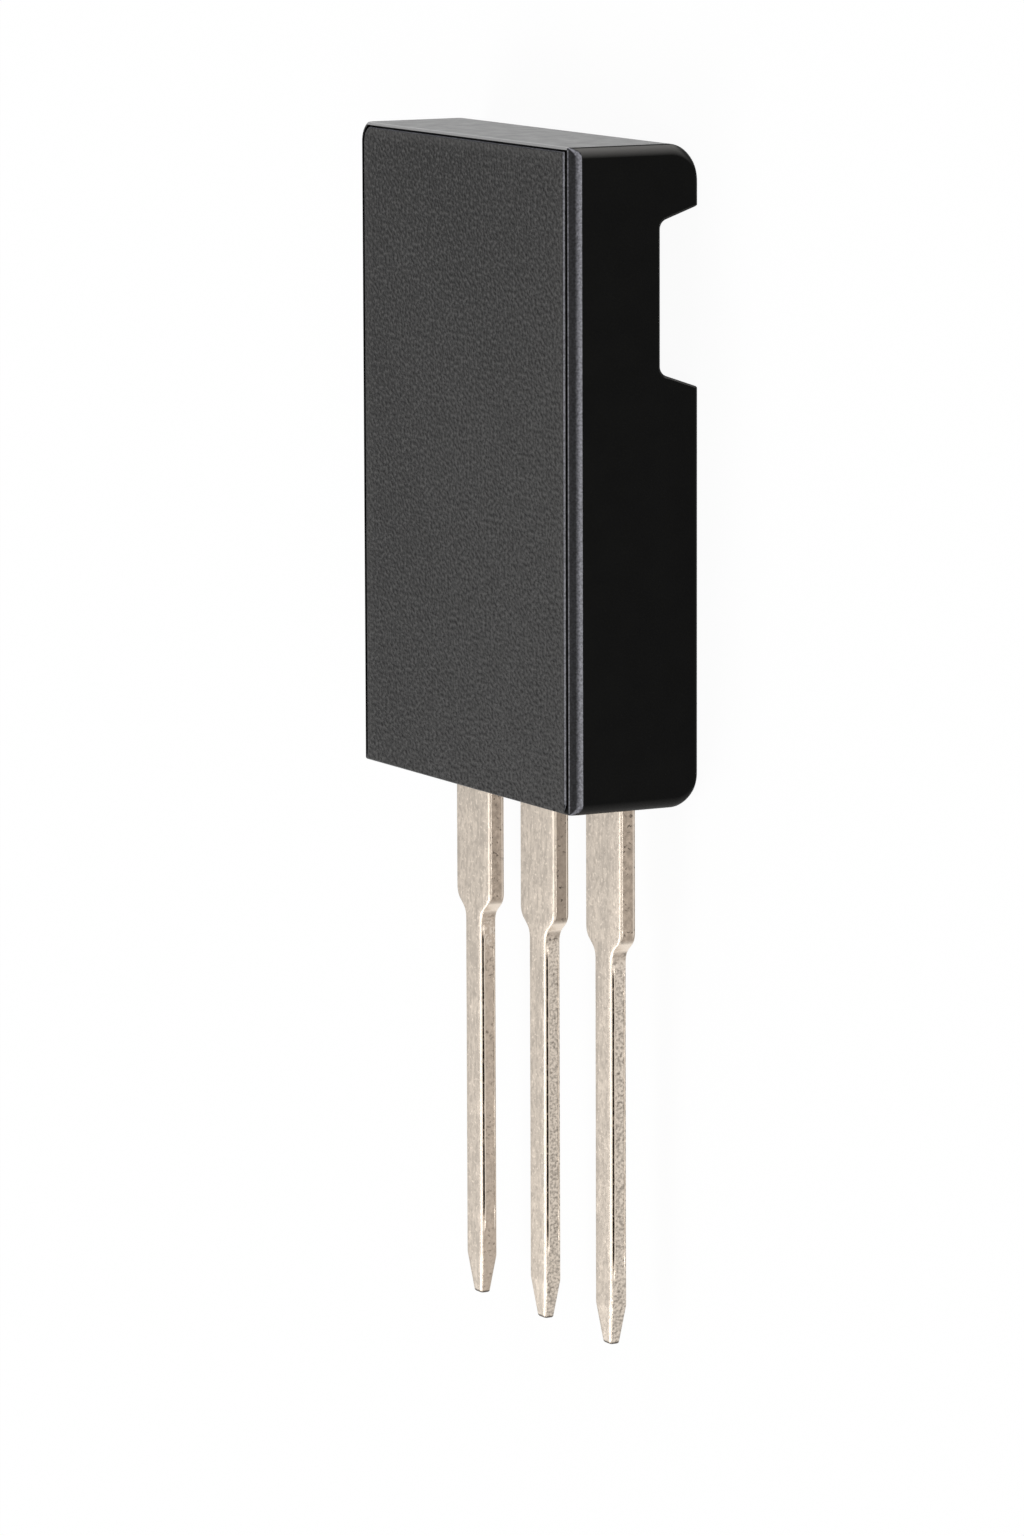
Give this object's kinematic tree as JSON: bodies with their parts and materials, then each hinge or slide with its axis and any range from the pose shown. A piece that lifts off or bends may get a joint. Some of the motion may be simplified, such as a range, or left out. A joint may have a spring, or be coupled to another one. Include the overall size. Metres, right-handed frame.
{
  "type": "power transistor",
  "caption": "Black fully moulded power transistor with flat tinned leads and a spring-clip channel across its front face.",
  "frame": {"origin": "on the surface that the part lies on, in the middle of its width and of its whole length, leads included", "axes": "+Y along the body from the lead tips to its top; +Z from the front face, which it lies on, to the back face, which meets a heat sink; +X across the body towards the base lead"},
  "size_m": [0.018, 0.048, 0.0056],
  "materials": {
    "epoxy": "matte",
    "tinned_copper": "satin",
    "solder": "satin",
    "silicon": "polished",
    "aluminium_wire": "satin"
  },
  "bodies": {
    "root": {"body": "epoxy", "collector_frame": "tinned_copper", "base_lead": "tinned_copper", "emitter_lead": "tinned_copper", "die_solder": "solder", "die": "silicon", "base_wire": "aluminium_wire", "emitter_wire_1": "aluminium_wire", "emitter_wire_2": "aluminium_wire"}
  },
  "joints": []
}
